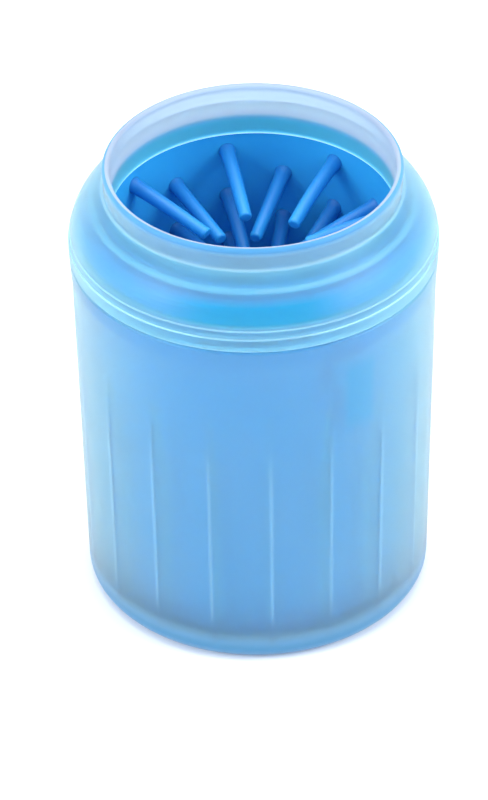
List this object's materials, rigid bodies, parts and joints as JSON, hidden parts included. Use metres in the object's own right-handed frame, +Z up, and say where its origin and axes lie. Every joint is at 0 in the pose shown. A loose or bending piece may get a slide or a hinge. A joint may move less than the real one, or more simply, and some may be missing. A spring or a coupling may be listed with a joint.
{
  "type": "paw washer cup",
  "caption": "Frosted tall cup with a twist-lock collar and a soft silicone brush insert whose inward fingers wash a pet's paw.",
  "frame": {"origin": "centre of the base, on the surface the cup stands on", "axes": "+Z up along the cup's axis, -Y is the front"},
  "size_m": [0.1106, 0.1106, 0.147],
  "materials": {
    "frosted_plastic": "frosted translucent, satin",
    "brush_silicone": "soft satin silicone",
    "seal_silicone": "soft matt silicone"
  },
  "bodies": {
    "cup": {"cup": "frosted_plastic"},
    "brush": {"brush_sleeve": "brush_silicone", "bristle_row_01": "brush_silicone", "bristle_row_02": "brush_silicone", "bristle_row_03": "brush_silicone", "bristle_row_04": "brush_silicone", "bristle_row_05": "brush_silicone", "bristle_row_06": "brush_silicone", "bristle_row_07": "brush_silicone", "bristle_row_08": "brush_silicone", "bristle_row_09": "brush_silicone", "bristle_row_10": "brush_silicone", "bristle_row_11": "brush_silicone", "bristle_row_12": "brush_silicone", "bristle_row_13": "brush_silicone"},
    "collar": {"collar": "frosted_plastic", "seal_ring": "seal_silicone"}
  },
  "joints": [
    {"name": "brush_lift", "type": "slide", "parent": "cup", "child": "brush", "axis": [0, 0, 1], "range_m": [0, 0.00175]},
    {"name": "collar_turn", "type": "hinge", "parent": "brush", "child": "collar", "pos_m": [0, 0, 0], "axis": [0, 0, 1], "range_deg": [0, 45]}
  ],
  "couplings": [
    {"joint": "brush_lift", "follows": "collar_turn", "m_per_rad": 0.0022282}
  ]
}
